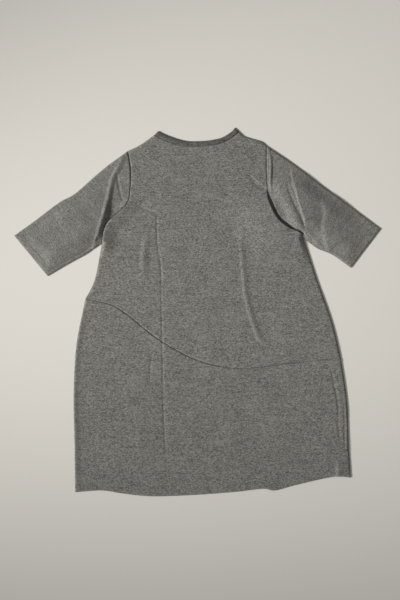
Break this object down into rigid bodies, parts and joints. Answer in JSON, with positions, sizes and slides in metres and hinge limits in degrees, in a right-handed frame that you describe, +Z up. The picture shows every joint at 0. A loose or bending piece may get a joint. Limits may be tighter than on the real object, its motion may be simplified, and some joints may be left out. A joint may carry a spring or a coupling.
{
  "type": "sweatshirt dress",
  "caption": "Loose round-neck sweatshirt dress laid flat, back up, with elbow sleeves, a narrow neck band and a wavy seam across the back.",
  "frame": {"origin": "on the surface that the dress lies on, below the middle of its bounding box", "axes": "+Z up out of the back of the dress, +Y towards its neck, +X to the right as seen from above"},
  "size_m": [1.009, 1.015, 0.0253],
  "materials": {
    "body_knit": "matt grey melange sweatshirt knit",
    "neck_rib": "matt darker grey rib knit"
  },
  "bodies": {
    "root": {"back_upper": "body_knit", "back_lower": "body_knit", "front": "body_knit", "sleeve_left": "body_knit", "sleeve_right": "body_knit", "neck_band": "neck_rib"}
  },
  "joints": []
}
